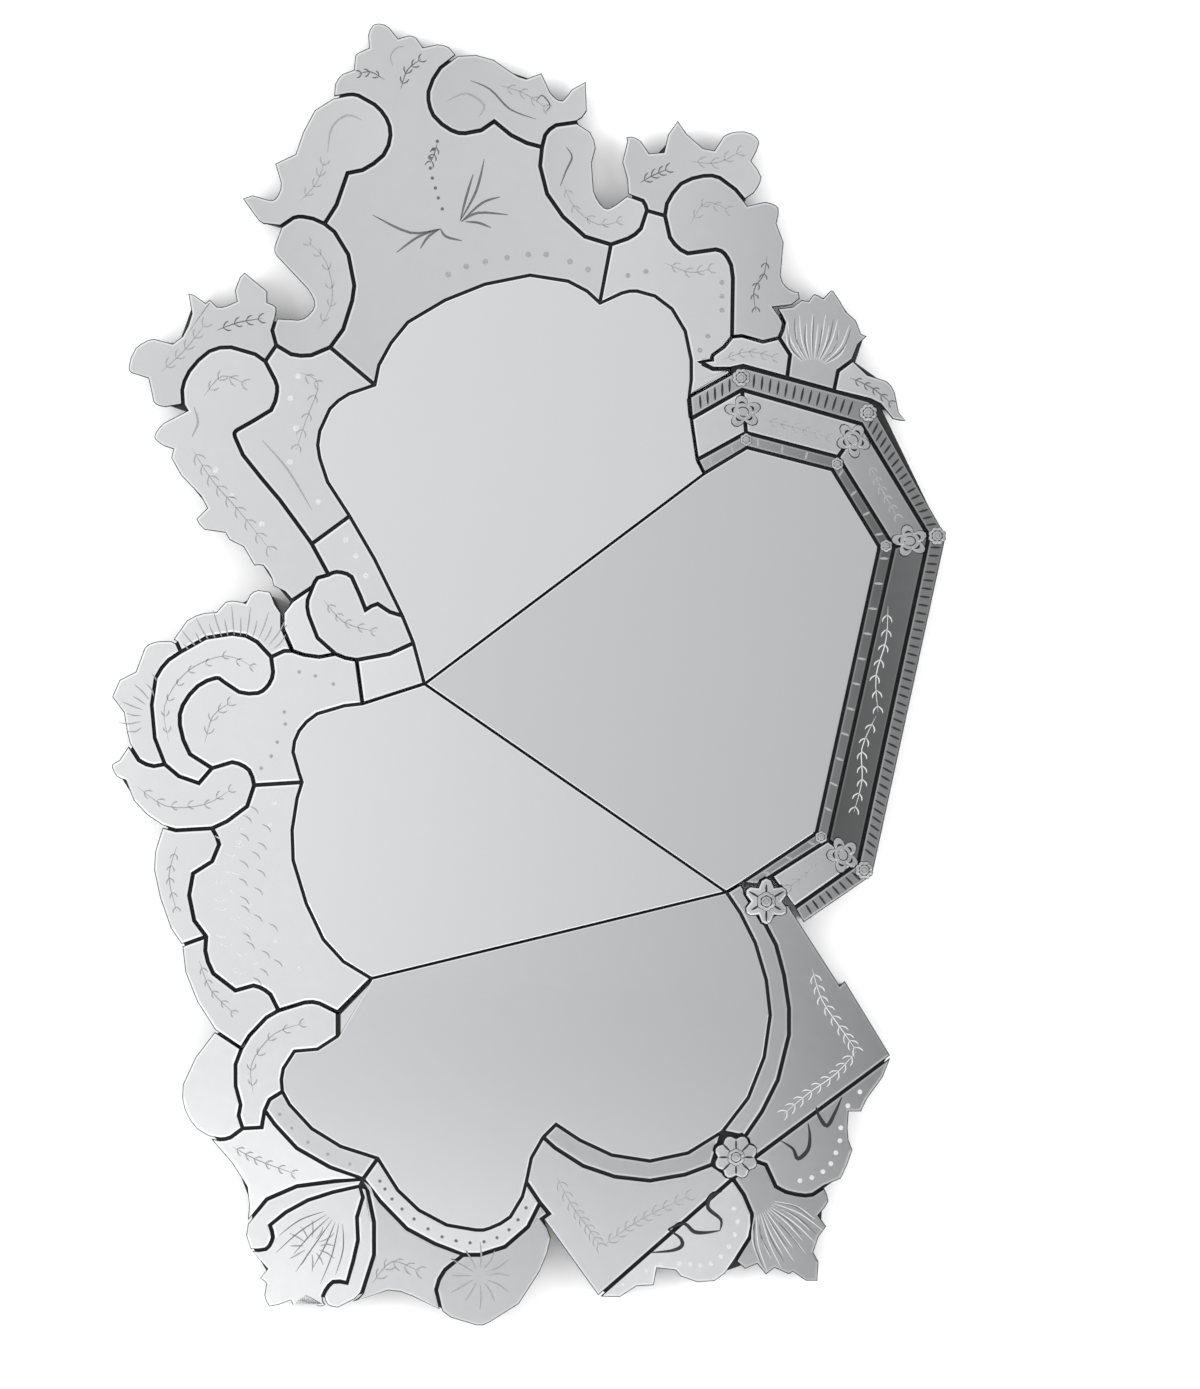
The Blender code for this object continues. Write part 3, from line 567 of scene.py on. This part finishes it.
# Bottom right: two curved borders, two corner panels with a garland each way in a V, and the
# leaves with their curls and pearls. They are mirror glass painted darker, as painted reflection
# and shade, and they lean to the floor too, so that they get the same painted lift of light.
dress_all({
    "border_right": (172, 160), "border_lower": (176, 158), "corner_panel_right": (162, 132),
    "corner_panel_lower": (187, 173), "palmette": (154, 138), "scroll_leaf_lower": (196, 182),
    "scroll_leaf_right": (160, 132), "lower_rosette": (180, 160),
    "upper_quatrefoil": (196, 160),
}, paler=PAINTED_FLOOR_LIFT, cloud=LOWER_CLOUD)
for path in ([(812, 968), (822, 1000), (842, 1030), (856, 1050)],
             [(856, 1052), (836, 1074), (808, 1094), (784, 1114)]):
    sprig("corner_panel_right", "pale", path, 9, 10, 1.1)
for path in ([(556, 1176), (572, 1206), (588, 1228), (600, 1246)],
             [(604, 1246), (628, 1228), (656, 1212), (690, 1196)]):
    sprig("corner_panel_lower", "soft", path, 9, 10, 1.1)
spray("palmette", "pale", (752, 1192), near=24, far=82, start=24, end=84, count=13,
      width=1.2, bend=12)
spray("palmette", "grey", (750, 1190), near=30, far=80, start=26, end=80, count=8,
      width=1.2, bend=12)
for curl in ([(650, 1253), (672, 1251), (682, 1246), (680, 1238), (668, 1230)],
             [(668, 1230), (684, 1224), (694, 1232), (706, 1233), (720, 1231)],
             [(720, 1231), (721, 1220), (708, 1208), (712, 1196), (722, 1192)]):
    stroke("scroll_leaf_lower", "black", curl, 4.0)
dots("scroll_leaf_lower", "pale", [(623, 1285), (646, 1271), (661, 1264), (679, 1264),
                                   (690, 1265), (700, 1266), (711, 1264), (721, 1257),
                                   (729, 1247), (735, 1235), (738, 1222), (734, 1209)], 2.5)
for curl in ([(842, 1097), (835, 1113), (827, 1126), (819, 1116), (817, 1108)],
             [(808, 1123), (810, 1136), (808, 1150), (798, 1159), (793, 1149), (781, 1141)]):
    stroke("scroll_leaf_right", "black", curl, 4.2)
dots("scroll_leaf_right", "pale", [(800, 1181), (812, 1178), (823, 1172), (831, 1164),
                                   (836, 1153), (840, 1141), (841, 1128), (848, 1106),
                                   (860, 1092)], 2.5)
ROSETTE_MIDDLE = (736, 1157)
QUATREFOIL_MIDDLE = (766, 901)
spray("lower_rosette", "black", ROSETTE_MIDDLE, near=8, far=20, start=0, end=315, count=8,
      width=2.0, bend=0)
spray("upper_quatrefoil", "black", QUATREFOIL_MIDDLE, near=8, far=20, start=30, end=330,
      count=6, width=2.2, bend=0)
add_cuts()

# Small cut glass buttons, each held by a pin through its middle. From the rim inwards, a ring
# is given as shares of the radius and of the height. The rim and the groove are dark.
# The buttons' tone, darker to the right, is painted reflection and shade.
BUTTON = glass("button_glass", left=188, right=168, low=-0.1, high=0.7, rough=0.08, cloud=0.2)
BUTTON_RINGS = ((1.0, 0.0), (0.94, 0.45), (0.62, 0.7), (0.5, 0.4), (0.3, 0.5), (0.24, 1.0))
DARK_RINGS = (0, 2)
LOBED_FROM = 0.5
LOBE_SIDES = 6
BUTTON_REST = 0.0003


def button(name, node, centre, radius, lobes, cleft, tall, stretch=1.0, turn=0.0):
    """A button on a pane, with lobes round its edge and clefts of that share between them."""
    deep = front_of(node)
    verts, faces = [], []
    around = lobes * LOBE_SIDES
    for share, rise in BUTTON_RINGS:
        for k in range(around):
            angle = math.tau * k / around
            r = radius * share
            if share > LOBED_FROM:
                r *= 1 - cleft + cleft * abs(math.sin(lobes * angle / 2))
            x, y = r * math.cos(angle) * stretch, r * math.sin(angle)
            sx = centre[0] + x * math.cos(turn) - y * math.sin(turn)
            sy = centre[1] + x * math.sin(turn) + y * math.cos(turn)
            verts.append(at(sx, sy, deep(sx, sy) + BUTTON_REST + tall * rise))
    last = (len(BUTTON_RINGS) - 1) * around
    for a in range(0, last, around):
        b = a + around
        for k in range(around):
            j = (k + 1) % around
            faces.append((a + k, b + k, b + j, a + j))
    faces.append(tuple(range(last, last + around))[::-1])
    faces.append(tuple(range(around)))
    mesh = add_piece(name, verts, faces, BUTTON, EDGE)
    for number, face in enumerate(mesh.polygons):
        face.material_index = int(number // around in DARK_RINGS)


button("rosette_boss", "lower_rosette", ROSETTE_MIDDLE, radius=9, lobes=6, cleft=0.12,
       tall=0.004)
button("quatrefoil_boss", "upper_quatrefoil", QUATREFOIL_MIDDLE, radius=10, lobes=6,
       cleft=0.12, tall=0.004)


# Octagon: five flat bands between an outer and an inner ribbed moulding, mitred at the
# corners, with a leaf, a shell and a tail above. It lies on the right board, and its glass is
# painted darkest, as painted reflection and shade.
dress_all({
    "octagon_band_1": (200, 196), "octagon_band_2": (190, 182), "octagon_band_3": (170, 142),
    "octagon_band_4": (92, 112), "octagon_band_5": (192, 168),
    "octagon_moulding_outer": (172, 120), "octagon_moulding_inner": (170, 96),
    "octagon_leaf": (204, 196), "octagon_shell": (184, 174), "octagon_tail": (196, 176),
}, rim=0.0022, cloud=0.12)

# Radiating veins on the shell, a stem on the leaf and the tail, and one along each band but
# the first, with two on the fourth.
spray("octagon_shell", "pale", (812, 380), near=20, far=66, start=-118, end=-50, count=13,
      width=1.2, bend=14)
spray("octagon_shell", "grey", (812, 382), near=24, far=66, start=-114, end=-54, count=8,
      width=1.3, bend=14)
sprig("octagon_leaf", "soft", [(722, 360), (748, 352), (776, 358)], 5, 8)
sprig("octagon_tail", "grey", [(850, 378), (872, 388), (892, 404)], 5, 7)
sprig("octagon_band_2", "soft", [(764, 420), (796, 428), (830, 438)], 6, 8)
sprig("octagon_band_3", "soft", [(868, 462), (882, 490), (898, 518)], 6, 8)
sprig("octagon_band_4", "pale", [(888, 606), (886, 640), (876, 676), (878, 712)], 7, 9, 1.1)
sprig("octagon_band_4", "pale", [(876, 716), (862, 748), (862, 780), (854, 812)], 7, 9, 1.1)
sprig("octagon_band_5", "soft", [(830, 852), (808, 872), (788, 888)], 5, 7)

# Ribs of the two mouldings: short grooves ground across each strip at an even pitch, from its
# outer rail to its inner one, with a bare stretch at each mitre.
OUTER_RAILS = ([(689, 397), (743, 367), (870, 401), (947, 536), (873, 876), (803, 924)],
               [(691, 419), (742, 390), (861, 424), (929, 536), (858, 863), (794, 908)])
INNER_RAILS = ([(697, 460), (746, 433), (838, 457), (894, 547), (828, 840), (757, 885)],
               [(704, 474), (747, 448), (832, 470), (879, 547), (816, 833), (741, 883)])
MITRE_BARE = 12
RIB_ENDS = (0.2, 0.8)
RIB_WIDE = 2.4
for node, (outer, inner), pitch, look in (
        ("octagon_moulding_outer", OUTER_RAILS, 8.6, "black"),
        ("octagon_moulding_inner", INNER_RAILS, 26.0, "soft")):
    for i in range(len(outer) - 1):
        length = math.dist(outer[i], outer[i + 1])
        for k in range(int((length - 2 * MITRE_BARE) / pitch) + 1):
            t = MITRE_BARE / length + k * pitch / length
            a = between(outer[i], outer[i + 1], t)
            b = between(inner[i], inner[i + 1], t)
            stroke(node, look, [between(a, b, share) for share in RIB_ENDS], RIB_WIDE)
add_cuts()

# Rosettes and leaves: buttons over the joints of the mouldings and of the bands.
for number, spot in enumerate(((741, 378), (868, 413), (937, 536), (864, 870)), 1):
    button(f"corner_rosette_{number}", "octagon_moulding_outer", spot, radius=9.5, lobes=8,
           cleft=0.16, tall=0.004)
for number, spot in enumerate(((746, 440), (837, 464), (886, 546), (821, 837)), 1):
    button(f"inner_rosette_{number}", "octagon_moulding_inner", spot, radius=6.5, lobes=6,
           cleft=0.16, tall=0.003)
for number, (spot, node, turn) in enumerate((
        ((743, 412), "octagon_band_2", 0.2), ((853, 440), "octagon_band_3", 0.9),
        ((910, 541), "octagon_band_4", 0.1), ((843, 855), "octagon_band_4", 1.2)), 1):
    button(f"band_leaf_{number}", node, spot, radius=17, lobes=5, cleft=0.45, tall=0.003,
           stretch=1.15, turn=turn)


# The studio's wall and floor, both plain, pale and matt. The wall stands just behind the
# mirror's back, and the floor lies well below its foot.
STUDIO_WIDE = 9.0
STUDIO_X = 0.14
WALL_BEHIND = 0.001
WALL_RISE = 0.6
WALL_PALE = 0.94
FLOOR_LOW = -1.75
FLOOR_FORWARD = -4.0
FLOOR_PALE = 0.8
STUDIO_ROUGH = 0.9
for name, spot, turned, pale in (
        ("wall", (STUDIO_X, WALL_BEHIND, WALL_RISE), (math.pi / 2, 0, 0), WALL_PALE),
        ("floor", (STUDIO_X, FLOOR_FORWARD, FLOOR_LOW), (0, 0, 0), FLOOR_PALE)):
    bpy.ops.object.select_all(action="DESELECT")
    bpy.ops.mesh.primitive_plane_add(size=STUDIO_WIDE, location=spot, rotation=turned)
    ground = bpy.context.object
    ground.name = "studio_" + name
    plain, shader, place = new_material("studio_" + name)
    shader.inputs["Base Color"].default_value = (pale, pale, pale, 1)
    shader.inputs["Roughness"].default_value = STUDIO_ROUGH
    ground.data.materials.append(plain)

# Light: an even white surround for the glass to mirror, a little stronger from the upper left.
LEVEL = 0.98
LEVEL_EAST = -0.3
LEVEL_UP = 0.22
world = bpy.data.worlds.new("studio_light")
bpy.context.scene.world = world
world.use_nodes = True
tree = world.node_tree
sky = tree.nodes["Background"]
way = Value(tree, tree.nodes.new("ShaderNodeTexCoord").outputs["Generated"])
parts = way.node("ShaderNodeSeparateXYZ", None, Vector=way)
east, up = (Value(tree, parts.outputs[axis]) for axis in (0, 2))
level = LEVEL + east * LEVEL_EAST + up * LEVEL_UP
tree.links.new(level.socket, sky.inputs["Strength"])
sky.inputs["Color"].default_value = (1, 1, 1, 1)
bpy.context.scene.view_settings.view_transform = "Standard"

# A wide soft lamp on each side washes the wall white. The glass doesn't mirror the lamps.
WASH_WIDE = 2.5
WASH_TALL = 3.5
WASH_WATTS = 120
WASH_ASIDE = 3.6
WASH_MIDDLE = (0.1, -2.6, -0.2)
WASH_TURN = math.radians(54)
for side in (-1, 1):
    lamp = bpy.data.lights.new("wash", "AREA")
    lamp.shape = "RECTANGLE"
    lamp.size = WASH_WIDE
    lamp.size_y = WASH_TALL
    lamp.energy = WASH_WATTS
    wash = bpy.data.objects.new("wash_light", lamp)
    bpy.context.scene.collection.objects.link(wash)
    wash.visible_glossy = False
    wash.location = (WASH_MIDDLE[0] + side * WASH_ASIDE, *WASH_MIDDLE[1:])
    wash.rotation_euler = (math.pi / 2, 0, side * WASH_TURN)

# Camera: level and square to the wall, with a long lens. It stands where the photograph's
# height in grid units just fills the view, measured at the middle depth of the face.
LENS = 135
SENSOR = 36
PHOTO_WIDE = 1200
PHOTO_TALL = 1389
FACE_DEEP = 0.045
camera = bpy.data.objects.new("camera", bpy.data.cameras.new("camera"))
bpy.context.scene.collection.objects.link(camera)
camera.data.lens = LENS
camera.data.sensor_width = SENSOR
camera.data.clip_end = 50
centre = at(PHOTO_WIDE / 2, PHOTO_TALL / 2)
camera.location = (centre[0], -FACE_DEEP - LENS * PHOTO_TALL * UNIT / SENSOR, centre[2])
camera.rotation_euler = (math.pi / 2, 0, 0)
bpy.context.scene.camera = camera
